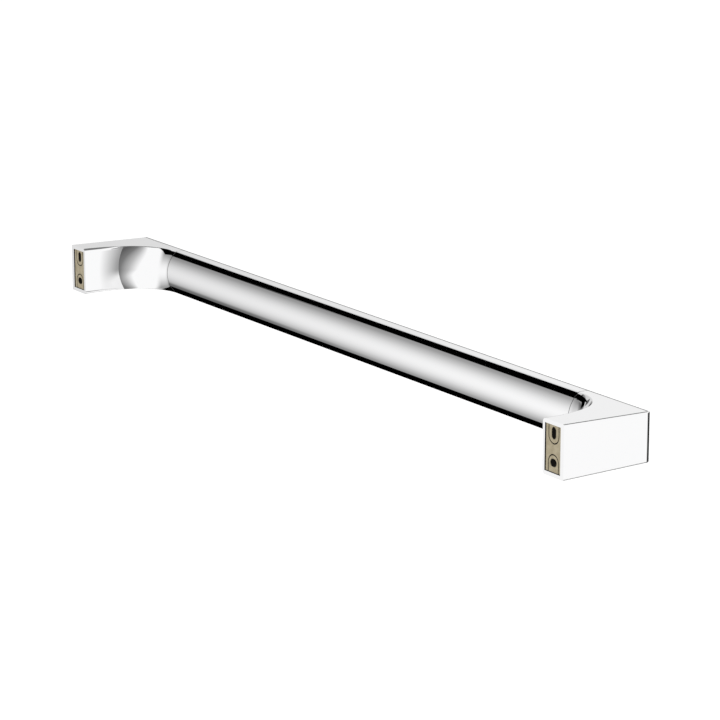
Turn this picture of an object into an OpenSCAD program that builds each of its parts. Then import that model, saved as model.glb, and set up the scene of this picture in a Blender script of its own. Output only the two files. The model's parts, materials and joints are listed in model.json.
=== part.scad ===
// Wall-mounted towel rail: a flat-fronted bar with a rounded back, carried
// between two cast ends whose hollow posts close over brackets on the wall.
// The datum is midway between the two lower screw slots, on the brackets'
// back faces: +X along the rail, +Y into the wall, +Z up.

/* [Rail] */

// Length over both ends
rail_length = 622; // [380:2:900]
// Height of the ends where they meet the wall
wall_height = 35; // [28:0.5:44]
// Height of the front face
front_height = 32.3; // [26:0.1:42]
// Wall to the front face
projection = 66; // [58:0.5:90]
// How far the front face bows out between its long edges
front_crown = 0.5; // [0.3:0.1:1.2]
// Radius of the edges that a towel touches
edge_r = 2.6; // [1.5:0.1:3.2]

/* [Bar] */

// Thickness from the front face to the middle of the rounded back
bar_depth = 17; // [15:0.5:22]
// Radius of the rounded back
back_r = 20; // [18.5:0.5:26]
// Wall of the hollow bar
bar_wall = 2; // [1.5:0.1:2.6]

/* [Cast ends] */

// Outer end to the seam with the bar
end_reach = 60.5; // [54:0.5:76]
// Width of the post at the wall
post_width = 21; // [19:0.5:26]
// Plan radius of the bend at mid-height
bend_mid_r = 42.2; // [36:0.2:50]
// Plan radius of the bend along the top and bottom edges
bend_edge_r = 38.2; // [34:0.2:46]
// Wall to where the bend starts, at mid-height
crease_mid = 27.3; // [24:0.1:34]
// How much further out the bend starts at the top and bottom edges
crease_sweep = 4.5; // [2:0.1:7]
// Radius of the upright outer corner at the front
corner_r = 2.6; // [1:0.1:5]

/* [Post mouth] */

// Thickness of the rim on the outer side
rim_side = 3.2; // [2.4:0.1:4.5]
// Width of the opening
mouth_w = 15.6; // [14:0.1:18]
// Thickness of the rim above and below the opening
rim_flat = 2.6; // [2.2:0.1:3.4]
// Depth of the opening
pocket_depth = 46; // [30:1:48]

/* [Wall bracket] */

// Distance of the bracket's back inside the rim
bracket_recess = 0.8; // [0:0.1:2]
// Depth of the bracket from back to front
bracket_t = 14; // [12:0.5:18]
// Play between the bracket and each side of the opening
bracket_play = 0.2; // [0.1:0.05:0.4]
// Width of the upright slot
slot_w = 4.4; // [4:0.1:5.5]
// Length of the upright slot
slot_l = 7.6; // [6:0.1:9]
// Width of the level slot
level_w = 5; // [4:0.1:5.5]
// Length of the level slot
level_l = 6.4; // [5.6:0.1:8]
// Middle of the rail up to the upright slot
slot_up = 9.7; // [8:0.1:12]
// Middle of the rail down to the level slot
slot_down = 8.8; // [7:0.1:10]
// Half width of the arched grooves round the slots
arch_r = 5; // [4.6:0.1:6]
// Width of those grooves
groove_w = 0.7; // [0.4:0.1:1]
// Depth of those grooves
groove_t = 0.7; // [0.4:0.1:1.2]
// Half width of the arched room for the screws' heads
head_r = 4.6; // [4.2:0.1:5.4]
// Depth of that room
head_t = 4; // [3:0.5:6]
// Depth of the vee groove under the bracket
vee_t = 2.4; // [2:0.1:2.6]

/* [Clamping screw] */

// Diameter of the screw
screw_d = 5; // [4:0.5:6]
// Wall to the screw's axis
screw_from_wall = 7.2; // [6.4:0.1:8]
// How far the axis sits outside the middle of the vee, so that it pulls
pull = 0.8; // [0.4:0.1:1.2]
// How far the screw stands inside the underside of the end
screw_sunk = 0.1; // [0:0.05:0.5]
// Width across the flats of its socket
socket_af = 2.5; // [2:0.5:3]
// Depth of its socket
socket_t = 1.6; // [1:0.1:2]
// Flat on the end of its point
point_d = 0.3; // [0.2:0.1:1]

/* [Hidden] */

$fn = 96;
draft = (wall_height - front_height) / 2 / projection;
draft_a = atan(draft);
bar_length = rail_length - 2 * end_reach;
back_y = bar_depth - projection;
back_c = back_y - back_r;
crown_r = (pow(front_height / 2, 2) + pow(front_crown, 2)) / (2 * front_crown);
mouth_half = wall_height / 2 - rim_flat;
mouth_mid = rim_side + mouth_w / 2;
bracket_low = bracket_play - mouth_half;
vee_y = pull - screw_from_wall;
tenon_l = 20;
tenon_play = 0.15;
tenon_wall = 3;
core_l = 12;

// Half height of the tapering top and bottom faces at y
function half_at(y) = wall_height / 2 + draft * y;

// Edge rounding between the top face and the rounded back: its centre
round_a = wall_height / 2 + draft * back_c - edge_r / cos(draft_a);
round_b = pow(back_r - edge_r, 2);
round_u = (-draft * round_a + sqrt(round_b * (1 + draft * draft) - round_a * round_a))
        / (1 + draft * draft);
round_c = [back_c + round_u, round_a + draft * round_u];
round_t = atan2(round_c[1], round_c[0] - back_c);

// Upper half of the back's section, from mid-height to the top face
arc_n = 12;
round_n = 8;
upper_row = concat(
    [for (i = [0 : arc_n])
        [back_c + back_r * cos(round_t * i / arc_n), back_r * sin(round_t * i / arc_n)]],
    [for (i = [1 : round_n])
        let (a = round_t + (90 + draft_a - round_t) * i / round_n)
            [round_c[0] + edge_r * cos(a), round_c[1] + edge_r * sin(a)]]);
half_n = len(upper_row) - 1;
row = concat(
    [for (i = [half_n : -1 : 1]) [upper_row[i][0], -upper_row[i][1]]],
    upper_row);
row_n = len(row) - 1;
edge_y = row[0][0];

// The bend: each level of the section runs round its own arc, so that the
// bulge of the back fades towards the post
share = [for (r = row) r[1] / half_at(r[0])];
bend_r = [for (r = row)
    bend_mid_r - (bend_mid_r - bend_edge_r) * (back_y - r[0]) / (back_y - edge_y)];
crease_y = [for (s = share) -(crease_mid + crease_sweep * s * s)];
crease_a = [for (i = [0 : row_n]) acos((row[i][0] + bend_r[i] - crease_y[i]) / bend_r[i])];

// The post's inner face at the wall, with its edges rounded
function rounded_off(z, top) = z <= top - edge_r ? 0
    : edge_r - sqrt(max(0, edge_r * edge_r - pow(z - top + edge_r, 2)));
post_x = [for (s = share)
    post_width - rounded_off(abs(s) * wall_height / 2, wall_height / 2)];

// Columns of the skin: along the post's face, along the bend, and one close
// on each side of the crease between them
face_n = 7;
bend_n = 32;
col_n = face_n + bend_n + 2;
by_crease = 1 - 0.4 / crease_mid;

function bend_point(i, a) =
    let (y = row[i][0] + bend_r[i] * (1 - cos(a)))
        [end_reach - bend_r[i] * sin(a), y, share[i] * half_at(y)];
function face_point(i, t) =
    let (c = bend_point(i, crease_a[i]), y = c[1] * t)
        [post_x[i] + (c[0] - post_x[i]) * t * t, y, share[i] * half_at(y)];
function skin_point(i, j) = j <= face_n ? face_point(i, by_crease * j / face_n)
    : j == face_n + 1 ? bend_point(i, crease_a[i])
    : bend_point(i, crease_a[i] * by_crease * (col_n - j) / bend_n);

// Triangles from one hub to each step along a ring
function fan(hub, ring) = [for (k = [0 : len(ring) - 2]) [hub, ring[k], ring[k + 1]]];

// Plan corners outside the casting, trimmed off by its outline
out = 4;
outer = [[-out, 0], [-out, -projection - out], [end_reach, -projection - out]];

module at_datum() {
    translate([0, bracket_recess, slot_down]) children();
}

module on_side(side) {
    if (side < 0) translate([-rail_length / 2, 0, 0]) children();
    else mirror([1, 0, 0]) translate([-rail_length / 2, 0, 0]) children();
}

// Section of the bar, or of its hollow when inset
module bar_section(inset = 0) {
    far = back_y + 10;
    near = -projection - 10;
    intersection() {
        polygon([
            [near, half_at(near) - inset], [far, half_at(far) - inset],
            [far, inset - half_at(far)], [near, inset - half_at(near)]
        ]);
        translate([back_c, 0]) circle(r = back_r - inset);
        translate([crown_r - projection, 0]) circle(r = crown_r - inset, $fn = 720);
    }
}

module corner_waste() {
    lead = [cos(round_t), sin(round_t)];
    flat = round_c + edge_r * [-sin(draft_a), cos(draft_a)];
    back = round_c + edge_r * lead;
    difference() {
        polygon([
            round_c, flat, flat + [0, 2], back + [2, 3], back + 2 * lead, back
        ]);
        translate(round_c) circle(r = edge_r);
    }
}

module bar_profile() {
    difference() {
        bar_section();
        corner_waste();
        mirror([0, 1]) corner_waste();
    }
}

module along_x(length) {
    rotate([90, 0, 90]) linear_extrude(height = length) children();
}

module rail_bar() {
    color([0.93, 0.93, 0.94])
    at_datum()
    translate([-bar_length / 2, 0, 0])
    difference() {
        along_x(bar_length) bar_profile();
        translate([-1, 0, 0]) along_x(bar_length + 2) bar_section(bar_wall);
    }
}

// Everything inside the casting's towel side, still square on its outer side
module end_loft() {
    w = col_n + 1;
    skin = [for (i = [0 : row_n]) for (j = [0 : col_n]) skin_point(i, j)];
    base = len(skin);
    low = [for (p = outer) [p[0], p[1], -half_at(p[1])]];
    high = [for (p = outer) [p[0], p[1], half_at(p[1])]];
    b = [base, base + 1, base + 2];
    t = [base + 3, base + 4, base + 5];
    last = row_n * w;
    faces = concat(
        [for (i = [0 : row_n - 1]) for (j = [0 : col_n - 1])
            [i * w + j, i * w + j + 1, (i + 1) * w + j + 1]],
        [for (i = [0 : row_n - 1]) for (j = [0 : col_n - 1])
            [i * w + j, (i + 1) * w + j + 1, (i + 1) * w + j]],
        fan(t[1], concat([t[0]], [for (j = [0 : col_n]) last + j], [t[2]])),
        fan(b[1], concat([b[2]], [for (j = [col_n : -1 : 0]) j], [b[0]])),
        [concat([t[0], b[0]], [for (i = [0 : row_n]) i * w])],
        [concat([b[2], t[2]], [for (i = [row_n : -1 : 0]) i * w + col_n])],
        [[t[0], t[1], b[1], b[0]], [t[1], t[2], b[2], b[1]]]
    );
    polyhedron(points = concat(skin, low, high), faces = faces);
}

// Plan outline that squares the end and rounds the outer front corner
module end_outline() {
    front = -projection - 0.2;
    translate([0, 0, -wall_height])
    linear_extrude(height = 2 * wall_height)
    union() {
        translate([corner_r, front]) square([end_reach + 5, -front + 5]);
        translate([0, front + corner_r]) square([corner_r + 1, 5 - front - corner_r]);
        translate([corner_r, front + corner_r]) circle(r = corner_r);
    }
}

module front_crown_trim() {
    translate([-5, crown_r - projection, 0])
    rotate([0, 90, 0]) cylinder(r = crown_r, h = end_reach + 10, $fn = 720);
}

module cast_end() {
    color([0.93, 0.93, 0.94])
    difference() {
        union() {
            intersection() {
                end_loft();
                end_outline();
                front_crown_trim();
            }
            translate([end_reach - 1, 0, 0])
                along_x(tenon_l + 1) bar_section(bar_wall + tenon_play);
        }
        translate([end_reach - core_l, 0, 0])
            along_x(tenon_l + core_l + 1) bar_section(bar_wall + tenon_play + tenon_wall);
        translate([rim_side, -pocket_depth, -mouth_half])
            cube([mouth_w, pocket_depth + 1, 2 * mouth_half]);
        translate([mouth_mid, -screw_from_wall, -wall_height])
            cylinder(d = screw_d, h = wall_height - mouth_half + 1);
    }
}

module slot(width, length, turn) {
    rotate([90, turn, 0])
    translate([0, 0, -1])
    linear_extrude(height = bracket_t + 2)
    union() {
        square([length - width, width], center = true);
        for (s = [-1, 1]) translate([s * (length - width) / 2, 0]) circle(d = width);
    }
}

// Arch that stands on its crown and runs out past the bracket's edge
module arch(r) {
    circle(r = r);
    translate([-r, 0]) square([2 * r, wall_height / 2]);
}

// Groove in the bracket's back and room for a screw's head in its front
module arch_cuts() {
    rotate([90, 0, 0]) {
        translate([0, 0, -1])
        linear_extrude(height = groove_t + 1)
        difference() {
            arch(arch_r + groove_w / 2);
            arch(arch_r - groove_w / 2);
        }
        translate([0, 0, bracket_t - head_t])
        linear_extrude(height = head_t + 1)
        arch(head_r);
    }
}

module bracket() {
    width = mouth_w - 2 * bracket_play;
    color([0.72, 0.68, 0.58])
    translate([mouth_mid, 0, 0])
    difference() {
        translate([-width / 2, -bracket_recess - bracket_t, bracket_low])
            cube([width, bracket_t, -2 * bracket_low]);
        translate([0, -bracket_recess, slot_up]) slot(slot_w, slot_l, 90);
        translate([0, -bracket_recess, -slot_down]) slot(level_w, level_l, 0);
        translate([0, -bracket_recess, slot_up - (slot_l - slot_w) / 2]) arch_cuts();
        mirror([0, 0, 1]) translate([0, -bracket_recess, slot_down]) arch_cuts();
        translate([0, vee_y, bracket_low])
            rotate([45, 0, 0])
            cube([2 * width, vee_t * sqrt(2), vee_t * sqrt(2)], center = true);
    }
}

// The flank of its point lies on the outer slope of the bracket's vee groove
module clamp_screw() {
    apex = bracket_low + vee_t - pull;
    low = screw_sunk - half_at(-screw_from_wall);
    shoulder = apex - screw_d / 2;
    color([0.78, 0.79, 0.81])
    translate([mouth_mid, -screw_from_wall, 0])
    difference() {
        union() {
            translate([0, 0, low]) cylinder(d = screw_d, h = shoulder - low);
            translate([0, 0, shoulder])
                cylinder(d1 = screw_d, d2 = point_d, h = (screw_d - point_d) / 2);
        }
        translate([0, 0, low - 1])
            cylinder(d = socket_af / cos(30), h = socket_t + 1, $fn = 6);
    }
}

module end_left() { at_datum() on_side(-1) cast_end(); }
module end_right() { at_datum() on_side(1) cast_end(); }
module bracket_left() { at_datum() on_side(-1) bracket(); }
module bracket_right() { at_datum() on_side(1) bracket(); }
module clamp_screw_left() { at_datum() on_side(-1) clamp_screw(); }
module clamp_screw_right() { at_datum() on_side(1) clamp_screw(); }

rail_bar();
end_left();
end_right();
bracket_left();
bracket_right();
clamp_screw_left();
clamp_screw_right();
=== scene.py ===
# A chrome towel rail seen from behind its left end, with the wall taken away
import json
import math

import bmesh
import bpy
import numpy as np
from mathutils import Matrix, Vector

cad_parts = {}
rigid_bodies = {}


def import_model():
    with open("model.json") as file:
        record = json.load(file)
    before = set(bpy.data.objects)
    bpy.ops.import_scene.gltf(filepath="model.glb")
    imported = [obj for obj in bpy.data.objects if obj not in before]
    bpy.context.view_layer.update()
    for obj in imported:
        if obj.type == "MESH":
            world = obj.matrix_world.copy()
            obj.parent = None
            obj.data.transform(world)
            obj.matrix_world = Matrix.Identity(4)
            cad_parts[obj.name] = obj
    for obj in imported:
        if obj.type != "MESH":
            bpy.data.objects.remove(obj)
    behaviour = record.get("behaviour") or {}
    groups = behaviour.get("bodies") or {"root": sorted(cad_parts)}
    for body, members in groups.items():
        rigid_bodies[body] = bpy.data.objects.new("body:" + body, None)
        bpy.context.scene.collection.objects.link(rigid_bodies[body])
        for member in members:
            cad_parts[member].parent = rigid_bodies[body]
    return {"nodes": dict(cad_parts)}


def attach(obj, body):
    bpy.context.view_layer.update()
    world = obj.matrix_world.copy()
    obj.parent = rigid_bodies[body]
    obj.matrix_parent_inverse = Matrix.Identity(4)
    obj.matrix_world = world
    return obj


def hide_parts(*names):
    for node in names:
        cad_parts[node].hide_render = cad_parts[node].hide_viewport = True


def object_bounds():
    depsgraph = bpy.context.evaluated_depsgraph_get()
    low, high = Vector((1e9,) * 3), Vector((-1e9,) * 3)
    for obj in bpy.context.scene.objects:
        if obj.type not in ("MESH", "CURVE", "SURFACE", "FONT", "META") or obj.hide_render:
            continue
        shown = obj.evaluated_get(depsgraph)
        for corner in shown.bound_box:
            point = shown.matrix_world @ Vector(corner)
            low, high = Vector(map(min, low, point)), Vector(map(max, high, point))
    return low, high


MM = 0.001

# The photograph's viewpoint, in the row frame
CAMERA_PLACE = (-1.6610, 1.0311, 0.4908)
CAMERA_HEADING = -33.262
CAMERA_TILT = -14.081
PHOTO_PX = 720
FOCAL_PX = 2961.0
SENSOR = 36.0

# Floor under the object
FLOOR_DROP = 0.34
FLOOR_HALF = 30.0

# Facets that meet at less than this are parts of one curved surface
SMOOTH = math.radians(27)

# Sizes of part.scad, in its millimetres, that the finish needs
WALL_HEIGHT, FRONT_HEIGHT, PROJECTION = 35.0, 32.3, 66.0
RAIL_LENGTH, END_REACH, POST_WIDTH = 622.0, 60.5, 21.0
BAR_DEPTH, BACK_R, EDGE_R = 17.0, 20.0, 2.6
BEND_MID_R, BEND_EDGE_R = 42.2, 38.2
CREASE_MID, CREASE_SWEEP = 27.3, 4.5
RIM_SIDE, MOUTH_WIDTH, RIM_FLAT = 3.2, 15.6, 2.6
WALL_Y, MIDDLE_Z = 0.8, 8.8

SEAM_X = (RAIL_LENGTH / 2 - END_REACH) * MM
DRAFT = (WALL_HEIGHT - FRONT_HEIGHT) / 2 / PROJECTION
BACK_Y = BAR_DEPTH - PROJECTION

for leftover in list(bpy.data.objects):
    bpy.data.objects.remove(leftover)
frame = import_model()
cad_low, cad_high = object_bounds()


class Nodes:
    """Adds nodes to a tree and links them, one call for each node."""

    def __init__(self, tree):
        self.tree = tree
        tree.nodes.clear()

    def add(self, kind, inputs=None, **settings):
        made = self.tree.nodes.new(kind)
        for key, value in settings.items():
            setattr(made, key, value)
        for key, value in (inputs or {}).items():
            if isinstance(value, bpy.types.NodeSocket):
                self.tree.links.new(value, made.inputs[key])
            else:
                made.inputs[key].default_value = value
        return made

    def math(self, operation, a, b=0.0, clamp=False):
        return self.add("ShaderNodeMath", {0: a, 1: b}, operation=operation, use_clamp=clamp).outputs[0]

    def ramp(self, factor, stops, interpolation="LINEAR"):
        made = self.add("ShaderNodeValToRGB", {"Fac": factor})
        bar = made.color_ramp
        bar.interpolation = interpolation
        while len(bar.elements) > 1:
            bar.elements.remove(bar.elements[-1])
        for k, (place, grey) in enumerate(stops):
            stop = bar.elements[0] if k == 0 else bar.elements.new(place)
            stop.position = place
            tone = grey if isinstance(grey, tuple) else (grey, grey, grey)
            stop.color = (*tone, 1)
        return made.outputs["Color"]

    def smooth(self, value, low, high):
        """0 at low, 1 at high, whichever of them is greater."""
        ends = (low, high, 0.0, 1.0) if low < high else (high, low, 1.0, 0.0)
        names = ("From Min", "From Max", "To Min", "To Max")
        return self.add(
            "ShaderNodeMapRange", {"Value": value, **dict(zip(names, ends))}, interpolation_type="SMOOTHSTEP"
        ).outputs["Result"]

    def mix(self, factor, a, b):
        made = self.add("ShaderNodeMix", data_type="RGBA")
        for socket, value in ((made.inputs[0], factor), (made.inputs[6], a), (made.inputs[7], b)):
            if isinstance(value, bpy.types.NodeSocket):
                self.tree.links.new(value, socket)
            else:
                socket.default_value = value
        return made.outputs[2]


def material(name):
    made = bpy.data.materials.new(name)
    made.use_nodes = True
    return made, Nodes(made.node_tree)


def polished_chrome(name, drawn):
    """Bright plating with faint waves: long ones on a drawn bar, round ones on a casting."""
    made, n = material(name)
    place = n.add("ShaderNodeTexCoord").outputs["Object"]
    along = (1 / 8, 1, 1) if drawn else (1, 1, 1)
    grown = n.add("ShaderNodeMapping", {"Vector": place, "Scale": along}).outputs[0]
    swirl = n.add("ShaderNodeTexNoise", {"Vector": grown, "Scale": 70.0, "Detail": 1.0}).outputs["Fac"]
    haze = n.add("ShaderNodeTexNoise", {"Vector": grown, "Scale": 1100.0, "Detail": 4.0}).outputs["Fac"]
    across = n.math("ABSOLUTE", n.add("ShaderNodeSeparateXYZ", {0: place}).outputs[0])
    off_seam = n.math("ABSOLUTE", n.math("SUBTRACT", across, SEAM_X))
    seam = n.smooth(off_seam, 0.36 * MM, 0.16 * MM)
    tone = n.mix(seam, (0.955, 0.955, 0.96, 1), (0.12, 0.12, 0.12, 1))
    rough = n.math("ADD", n.math("MULTIPLY", haze, 0.045), n.math("MULTIPLY", seam, 0.4))
    depth = n.add("ShaderNodeSeparateXYZ", {0: place}).outputs[1]
    buffed = n.math("MULTIPLY", n.smooth(depth, cad_low.y + 3.6 * MM, cad_low.y + 0.4 * MM), -0.3)
    turned = n.add(
        "ShaderNodeVectorMath",
        {
            0: n.add("ShaderNodeNewGeometry").outputs["Normal"],
            1: n.add("ShaderNodeCombineXYZ", {1: buffed}).outputs[0],
        },
        operation="ADD",
    ).outputs["Vector"]
    turned = n.add("ShaderNodeVectorMath", {0: turned}, operation="NORMALIZE").outputs["Vector"]
    bump = n.add(
        "ShaderNodeBump", {"Height": swirl, "Strength": 0.03, "Distance": 0.1 * MM, "Normal": turned}
    ).outputs["Normal"]
    shader = n.add(
        "ShaderNodeBsdfPrincipled",
        {"Base Color": tone, "Metallic": 1.0, "Roughness": rough, "Normal": bump},
    )
    n.add("ShaderNodeOutputMaterial", {"Surface": shader.outputs[0]})
    return made


def mouth_painted_shade():
    """The inside of a post's mouth: near-black as painted shade for the recess, with a coarse unpolished
    skin.
    """
    made, n = material("mouth_painted_shade")
    place = n.add("ShaderNodeTexCoord").outputs["Object"]
    skin = n.add("ShaderNodeTexNoise", {"Vector": place, "Scale": 1400.0, "Detail": 4.0}).outputs["Fac"]
    # Near-black base colour: painted shade inside the mouth, not the metal's own tone
    tone = n.ramp(skin, [(0.3, 0.004), (0.7, 0.012)])
    rough = n.ramp(skin, [(0.3, 0.55), (0.7, 0.8)])
    bump = n.add(
        "ShaderNodeBump", {"Height": skin, "Strength": 0.4, "Distance": 0.1 * MM}
    ).outputs["Normal"]
    shader = n.add(
        "ShaderNodeBsdfPrincipled",
        {"Base Color": tone, "Metallic": 0.6, "Roughness": rough, "Normal": bump},
    )
    n.add("ShaderNodeOutputMaterial", {"Surface": shader.outputs[0]})
    return made


def satin_zinc():
    """Beige passivated die casting: cast grain and cloudy tone, with painted shade darkening its edges and
    its recesses.
    """
    made, n = material("bracket_satin")
    place = n.add("ShaderNodeTexCoord").outputs["Object"]
    cloud = n.add("ShaderNodeTexNoise", {"Vector": place, "Scale": 260.0, "Detail": 5.0}).outputs["Fac"]
    grain = n.add("ShaderNodeTexNoise", {"Vector": place, "Scale": 2600.0, "Detail": 3.0}).outputs["Fac"]
    tone = n.ramp(cloud, [(0.3, (0.40, 0.34, 0.225)), (0.7, (0.53, 0.465, 0.325))])
    edge = n.add("ShaderNodeBevel", {"Radius": 0.3 * MM}, samples=8).outputs["Normal"]
    turned = n.add(
        "ShaderNodeVectorMath",
        {0: edge, 1: n.add("ShaderNodeNewGeometry").outputs["Normal"]},
        operation="DOT_PRODUCT",
    ).outputs["Value"]
    # Painted shade: the colour darkens within 0.3 mm of each edge, along the grooves and rims
    edge_shade = n.smooth(turned, 0.99, 0.85)
    # Painted shade: faces set back behind the plate's face, such as groove floors and the mouth, go
    # near-black; this mask also makes them rougher
    recess_shade = n.smooth(n.add("ShaderNodeSeparateXYZ", {0: place}).outputs[1], -0.05 * MM, -0.4 * MM)
    colour = n.mix(n.math("MULTIPLY", edge_shade, 0.75), tone, (0.07, 0.055, 0.03, 1))
    colour = n.mix(recess_shade, colour, (0.008, 0.006, 0.004, 1))
    rough = n.math("ADD", n.ramp(grain, [(0.3, 0.36), (0.7, 0.5)]), n.math("MULTIPLY", recess_shade, 0.3))
    bump = n.add(
        "ShaderNodeBump", {"Height": grain, "Strength": 0.25, "Distance": 0.05 * MM, "Normal": edge}
    ).outputs["Normal"]
    shader = n.add(
        "ShaderNodeBsdfPrincipled",
        {"Base Color": colour, "Metallic": 0.75, "Roughness": rough, "Normal": bump},
    )
    n.add("ShaderNodeOutputMaterial", {"Surface": shader.outputs[0]})
    return made


def screw_steel():
    """Stainless screw with a fine grain."""
    made, n = material("screw_steel")
    place = n.add("ShaderNodeTexCoord").outputs["Object"]
    grain = n.add("ShaderNodeTexNoise", {"Vector": place, "Scale": 1800.0, "Detail": 3.0}).outputs["Fac"]
    tone = n.ramp(grain, [(0.3, 0.5), (0.7, 0.62)])
    rough = n.ramp(grain, [(0.3, 0.24), (0.7, 0.38)])
    shader = n.add("ShaderNodeBsdfPrincipled", {"Base Color": tone, "Metallic": 1.0, "Roughness": rough})
    n.add("ShaderNodeOutputMaterial", {"Surface": shader.outputs[0]})
    return made


def spot(co):
    return tuple(round(c * 1e6) for c in co)


def half_at(y):
    return WALL_HEIGHT / 2 + DRAFT * y


def back_section():
    """Shares of the height, and depths, along the upper half of the back's section."""
    lean = math.atan(DRAFT)
    centre = BACK_Y - BACK_R
    top = WALL_HEIGHT / 2 + DRAFT * centre - EDGE_R / math.cos(lean)
    reach = (BACK_R - EDGE_R) ** 2 * (1 + DRAFT ** 2) - top ** 2
    along = (math.sqrt(reach) - DRAFT * top) / (1 + DRAFT ** 2)
    y0, z0 = centre + along, top + DRAFT * along
    turn = math.atan2(z0, along)
    arcs = [(centre, 0.0, BACK_R, 0.0, turn), (y0, z0, EDGE_R, turn, math.pi / 2 + lean)]
    points = []
    for y, z, r, start, end in arcs:
        for a in np.linspace(start, end, 400):
            points.append((y + r * math.cos(a), z + r * math.sin(a)))
    depth, height = np.array(points).T
    return height / half_at(depth), depth


SHARES, DEPTHS = back_section()


def bend_at(share):
    """Depth of the back, radius of the bend and depth of the crease at a share of the height."""
    back = float(np.interp(share, SHARES, DEPTHS))
    faded = (BACK_Y - back) / (BACK_Y - DEPTHS[-1])
    radius = BEND_MID_R - (BEND_MID_R - BEND_EDGE_R) * faded
    return back, radius, -(CREASE_MID + CREASE_SWEEP * share * share)


def bend_gap(x, y, z):
    """How far a point lies off the bend, towards the solid."""
    back, radius, _ = bend_at(min(1.0, abs(z) / half_at(y)))
    return math.hypot(x - END_REACH, y - back - radius) - radius


def post_gap(x, y, z):
    """How far a point lies off the post's inner face, away from the solid."""
    share = min(1.0, abs(z) / half_at(y))
    back, radius, crease = bend_at(share)
    crease_x = END_REACH - math.sqrt(radius ** 2 - (back + radius - crease) ** 2)
    over = max(0.0, share * WALL_HEIGHT / 2 - WALL_HEIGHT / 2 + EDGE_R)
    wall_x = POST_WIDTH - EDGE_R + math.sqrt(max(0.0, EDGE_R ** 2 - over ** 2))
    return x - wall_x - (crease_x - wall_x) * (y / crease) ** 2


def casting_normal(co, face_mid):
    """The true normal of a casting's towel side at a point, or None off it."""
    side = math.copysign(1, co.x)

    def local(p):
        return RAIL_LENGTH / 2 - abs(p.x) / MM, p.y / MM - WALL_Y, p.z / MM - MIDDLE_Z

    x, y, z = local(co)
    _, face_y, face_z = local(face_mid)
    if not (0 < x < END_REACH + 0.01 and y < 0.01):
        return None
    on_bend = face_y < bend_at(min(1.0, abs(face_z) / half_at(face_y)))[2]
    gap, outward = (bend_gap, -1) if on_bend else (post_gap, 1)
    z = math.copysign(min(abs(z), half_at(y) - 0.003), z)
    if abs(gap(x, y, z)) > 0.02:
        return None
    step = 0.002
    slope = Vector((
        gap(x + step, y, z) - gap(x - step, y, z),
        gap(x, y + step, z) - gap(x, y - step, z),
        gap(x, y, z + step) - gap(x, y, z - step),
    )) * outward
    slope.x *= -side
    return slope.normalized()


def polished(node, soft_edges):
    """A copy of a node with its hard edges eased, and normals that follow the true surfaces."""
    source = frame["nodes"][node].data
    normals = np.zeros(len(source.loops) * 3, np.float32)
    source.corner_normals.foreach_get("vector", normals)
    normals = normals.reshape(-1, 3)
    exact = {}
    for face in source.polygons:
        if face.use_smooth:
            for loop in face.loop_indices:
                co = source.vertices[source.loops[loop].vertex_index].co
                exact.setdefault(spot(co), []).append(Vector(normals[loop]))

    bm = bmesh.new()
    bm.from_mesh(source)
    bmesh.ops.remove_doubles(bm, verts=bm.verts, dist=1e-6)
    bmesh.ops.dissolve_limit(
        bm, angle_limit=math.radians(0.05), verts=bm.verts, edges=bm.edges, use_dissolve_boundaries=False
    )
    for radius, steps, wanted in soft_edges:
        chosen = [
            e for e in bm.edges
            if e.is_manifold and e.calc_face_angle() > math.radians(50) and e.is_convex and wanted(e)
        ]
        bmesh.ops.bevel(
            bm, geom=chosen, offset=radius, offset_type="OFFSET", segments=steps,
            profile=0.5, affect="EDGES", clamp_overlap=False,
        )
    bm.normal_update()
    limit = math.cos(SMOOTH)
    custom = []
    for face in bm.faces:
        face.smooth = True
        face_mid = face.calc_center_median()
        level = abs(face.normal.z) > 0.999 and face.calc_area() > 100 * MM * MM
        for loop in face.loops:
            true = casting_normal(loop.vert.co, face_mid) if node.startswith("end") else None
            if level:
                known = [face.normal.copy()]
            elif true is not None and true.dot(face.normal) > limit:
                known = [true]
            else:
                known = exact.get(spot(loop.vert.co), ())
            best = max(known, key=face.normal.dot, default=None)
            if best is not None and best.dot(face.normal) > limit:
                custom.append(best)
                continue
            total = Vector()
            for other in loop.vert.link_faces:
                if other.normal.dot(face.normal) > limit:
                    total += other.normal * other.calc_area()
            custom.append(total.normalized())
    mesh = bpy.data.meshes.new(node + "_polished")
    bm.to_mesh(mesh)
    bm.free()
    mesh.normals_split_custom_set(custom)
    piece = bpy.data.objects.new(node + "_polished", mesh)
    bpy.context.scene.collection.objects.link(piece)
    piece.visible_glossy = False
    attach(piece, "root")
    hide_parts(node)
    return piece


def middle(edge):
    return (edge.verts[0].co + edge.verts[1].co) / 2


def bar_front(edge):
    return abs(middle(edge).x) < SEAM_X - MM and middle(edge).y < cad_low.y + 1.5 * MM


def at_seam(edge):
    return all(abs(abs(v.co.x) - SEAM_X) < 0.01 * MM for v in edge.verts)


def end_outside(edge):
    """The edges round a casting's top and bottom, on its outer side and its front."""
    place = middle(edge)
    outer = abs(place.x) > cad_high.x - 0.01 * MM
    front = place.y < cad_low.y + 4 * MM and abs(place.x) > SEAM_X
    level = abs(edge.verts[0].co.z - edge.verts[1].co.z) < 2 * MM
    return level and (outer or front)


def in_mouth(face):
    c = face.calc_center_median() / MM
    across = abs(RAIL_LENGTH / 2 - abs(c.x) - RIM_SIDE - MOUTH_WIDTH / 2) < MOUTH_WIDTH / 2 + 0.01
    return across and abs(c.z - MIDDLE_Z) < WALL_HEIGHT / 2 - RIM_FLAT + 0.01 and c.y < WALL_Y - 0.1


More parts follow.
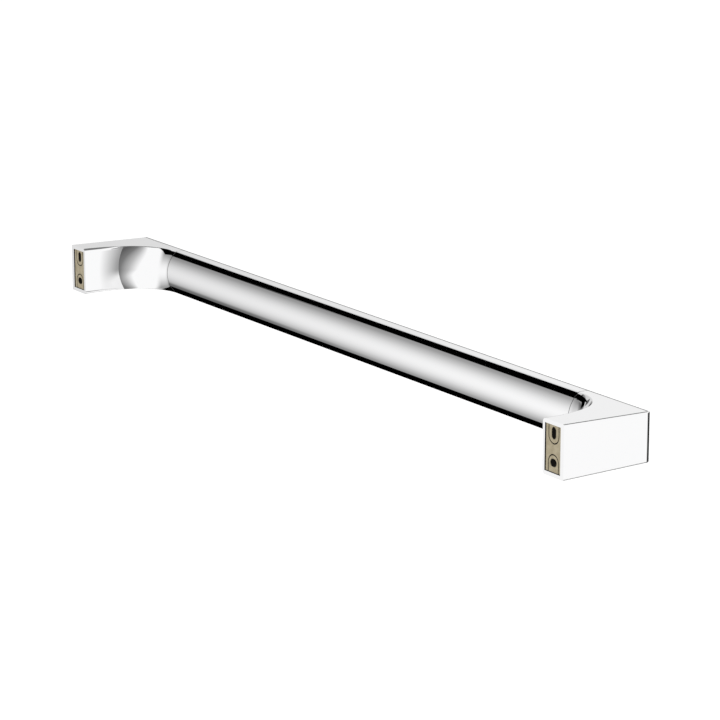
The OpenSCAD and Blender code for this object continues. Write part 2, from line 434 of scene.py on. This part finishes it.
def dress(chrome_cast, chrome_drawn, mouth_shade, zinc, steel):
    looks = {
        "bracket_left": zinc,
        "bracket_right": zinc,
        "clamp_screw_left": steel,
        "clamp_screw_right": steel,
    }
    for node, look in looks.items():
        frame["nodes"][node].material_slots[0].material = look
        frame["nodes"][node].visible_glossy = False
    bar = polished("rail_bar", [(0.9 * MM, 4, bar_front), (0.1 * MM, 1, at_seam)])
    bar.data.materials.append(chrome_drawn)
    for node in ("end_left", "end_right"):
        piece = polished(node, [(0.9 * MM, 4, end_outside), (0.1 * MM, 1, at_seam)])
        piece.data.materials.append(chrome_cast)
        # Second slot: the near-black painted shade, given to the faces inside the mouth below
        piece.data.materials.append(mouth_shade)
        bm = bmesh.new()
        bm.from_mesh(piece.data)
        inside = [face.index for face in bm.faces if in_mouth(face)]
        bm.free()
        for index in inside:
            piece.data.polygons[index].material_index = 1


def studio():
    """White to the eye; the chrome mirrors a white room with a shaded side, a dark end and black gaps."""
    world = bpy.data.worlds.new("studio")
    bpy.context.scene.world = world
    world.use_nodes = True
    n = Nodes(world.node_tree)
    way = n.add("ShaderNodeTexCoord").outputs["Generated"]
    x, y, z = n.add("ShaderNodeSeparateXYZ", {0: way}).outputs

    def along(direction):
        return n.add("ShaderNodeVectorMath", {0: way, 1: direction}, operation="DOT_PRODUCT").outputs["Value"]

    def every(*masks):
        product = masks[0]
        for mask in masks[1:]:
            product = n.math("MULTIPLY", product, mask)
        return product

    round_x = n.math("SQRT", n.math("MAXIMUM", n.math("SUBTRACT", 1.0, n.math("MULTIPLY", x, x)), 0.0001))
    turn = n.math("DIVIDE", along((0.0, 0.970, -0.242)), round_x)
    share = n.math("ADD", n.math("MULTIPLY", turn, 0.5), 0.5)
    panel = n.ramp(share, [
        (0.0, 0.90), (0.4, 0.74), (0.65, 0.68), (0.667, 0.33), (0.74, 0.38), (0.87, 0.64), (1.0, 0.98),
    ])
    panel = n.mix(n.math("MULTIPLY", n.smooth(x, 0.76, 0.88), 0.20), panel, (0, 0, 0, 1))
    panel = n.mix(n.smooth(x, 0.62, 0.42), panel, (1, 1, 1, 1))
    away = n.math("DIVIDE", n.math("ARCTAN2", y, n.math("MULTIPLY", x, -1.0)), math.pi)
    low = n.math("MULTIPLY", n.smooth(z, -0.22, -0.5), 0.067)
    high = n.math("MULTIPLY", n.math("MAXIMUM", n.math("ADD", z, 0.22), 0.0), -0.09)
    dark_end = n.ramp(n.math("ADD", n.math("ADD", away, 0.25), n.math("ADD", low, high)), [
        (0.145, 1.0), (0.205, 0.36), (0.33, 0.10), (0.43, 0.20), (0.53, 0.50), (0.64, 1.0),
    ])
    patch = every(n.smooth(z, -0.215, -0.255), n.smooth(away, 0.08, 0.0), 0.85)
    dark_end = n.mix(patch, dark_end, (1, 1, 1, 1))
    seen = n.add(
        "ShaderNodeMix", {0: 1.0, 6: panel, 7: dark_end}, data_type="RGBA", blend_type="MULTIPLY"
    ).outputs[2]
    front = every(n.smooth(y, -0.75, -0.9), n.smooth(z, 0.5, 0.0), 0.45)
    seen = n.mix(front, seen, (0, 0, 0, 1))
    ahead = every(n.smooth(z, 0.18, 0.07), n.smooth(y, -0.3, -0.4), n.smooth(x, 0.5, 0.6), 0.6)
    inner = every(
        n.smooth(along((0.25, -1.0, 0.0)), -0.08, 0.05),
        n.smooth(y, -0.04, -0.01),
        n.smooth(z, 0.55, 0.5),
        n.smooth(x, 0.8, 0.84),
        0.5,
    )
    seen = n.mix(n.math("MAXIMUM", ahead, inner), seen, (0, 0, 0, 1))
    seen = n.mix(n.smooth(along((0, -0.25, 1.0)), 0.80, 0.88), seen, (0.2, 0.2, 0.2, 1))
    lean = along((0.252, 0.650, -0.717))
    patch = n.math(
        "MAXIMUM",
        every(n.smooth(x, 0.765, 0.755), n.smooth(z, 0.38, 0.42)),
        every(n.smooth(x, 0.82, 0.84), n.smooth(y, -0.08, -0.04)),
    )
    above = every(
        n.smooth(lean, 0.056, 0.044),
        n.smooth(along((0.84, -1.0, 0.0)), -0.01, 0.01),
        n.smooth(z, 0.03, 0.06),
        n.smooth(x, 0.40, 0.46),
        n.math("MAXIMUM", n.smooth(lean, -0.156, -0.144), patch),
        n.smooth(z, 0.86, 0.82),
    )
    below = every(
        n.smooth(y, 0.07, 0.055),
        n.smooth(z, -0.09, -0.12),
        n.smooth(x, -0.70, -0.64),
        n.smooth(z, -0.82, -0.70),
        n.math("SUBTRACT", 1.0, n.math("MULTIPLY", n.smooth(x, 0.2, -0.3), 0.07)),
    )
    reach = n.math("MULTIPLY", n.math("MAXIMUM", n.math("SUBTRACT", z, 0.31), 0.0), 1.25)
    hook = every(
        n.smooth(n.math("ADD", along((0.14, -1.0, 0.0)), reach), -0.01, 0.01),
        n.smooth(y, -0.03, -0.01),
        n.smooth(z, 0.08, 0.14),
        n.smooth(x, 0.8, 0.84),
    )
    strip = every(
        n.smooth(along((0.0, 1.0, -0.6)), -0.225, -0.245),
        n.math("MAXIMUM", n.smooth(z, 0.52, 0.48), n.smooth(x, 0.855, 0.84)),
        n.smooth(z, 0.66, 0.62),
        n.smooth(z, 0.02, 0.06),
        n.smooth(x, 0.7, 0.75),
    )
    line = every(
        n.smooth(y, -0.06, -0.08), n.smooth(y, -0.22, -0.19), n.smooth(z, 0.27, 0.22), n.smooth(z, 0.08, 0.12)
    )
    above = every(n.math("MAXIMUM", above, hook), n.math("SUBTRACT", 1.0, strip))
    gaps = n.math("MAXIMUM", n.math("MAXIMUM", above, below), n.math("MULTIPLY", line, 0.85))
    seen = n.mix(gaps, seen, (0, 0, 0, 1))
    path = n.add("ShaderNodeLightPath")
    soft = n.mix(path.outputs["Is Glossy Ray"], (0.85, 0.85, 0.85, 1), seen)
    shown = n.mix(path.outputs["Is Camera Ray"], soft, (1, 1, 1, 1))
    light = n.add("ShaderNodeBackground", {"Color": shown, "Strength": 1.0})
    n.add("ShaderNodeOutputWorld", {"Surface": light.outputs[0]})


def floor():
    """Pale floor that keeps the object's shadow and is open from below."""
    mesh = bpy.data.meshes.new("floor")
    level = cad_low.z - FLOOR_DROP
    h = FLOOR_HALF
    mesh.from_pydata([(-h, -h, level), (h, -h, level), (h, h, level), (-h, h, level)], [], [(0, 1, 2, 3)])
    plane = bpy.data.objects.new("floor", mesh)
    bpy.context.scene.collection.objects.link(plane)
    made, n = material("floor_pale")
    diffuse = n.add("ShaderNodeBsdfDiffuse", {"Color": (0.9, 0.9, 0.9, 1)})
    lift = n.add("ShaderNodeEmission", {"Color": (1, 1, 1, 1), "Strength": 0.3})
    both = n.add("ShaderNodeAddShader", {0: diffuse.outputs[0], 1: lift.outputs[0]})
    clear = n.add("ShaderNodeBsdfTransparent")
    back = n.add("ShaderNodeNewGeometry").outputs["Backfacing"]
    cover = n.add("ShaderNodeMixShader", {0: back, 1: both.outputs[0], 2: clear.outputs[0]})
    n.add("ShaderNodeOutputMaterial", {"Surface": cover.outputs[0]})
    mesh.materials.append(made)
    plane.visible_glossy = False


def key_light():
    data = bpy.data.lights.new("key", "AREA")
    data.shape = "RECTANGLE"
    data.size, data.size_y = 1.6, 1.0
    data.energy = 14
    lamp = bpy.data.objects.new("key", data)
    lamp.location = (-1.2, 1.6, 1.9)
    lamp.rotation_euler = (Vector((0, 0, 0)) - lamp.location).to_track_quat("-Z", "Y").to_euler()
    lamp.visible_glossy = False
    bpy.context.scene.collection.objects.link(lamp)


def camera():
    data = bpy.data.cameras.new("camera")
    data.sensor_width = SENSOR
    data.lens = FOCAL_PX * SENSOR / PHOTO_PX
    data.clip_end = 100
    view = bpy.data.objects.new("camera", data)
    view.location = CAMERA_PLACE
    view.rotation_euler = (
        math.radians(90 + CAMERA_TILT), 0, math.radians(CAMERA_HEADING - 90)
    )
    bpy.context.scene.collection.objects.link(view)
    bpy.context.scene.camera = view


dress(
    polished_chrome("end_chrome", drawn=False),
    polished_chrome("bar_chrome", drawn=True),
    mouth_painted_shade(),
    satin_zinc(),
    screw_steel(),
)
studio()
floor()
key_light()
camera()
bpy.context.scene.view_settings.view_transform = "Standard"
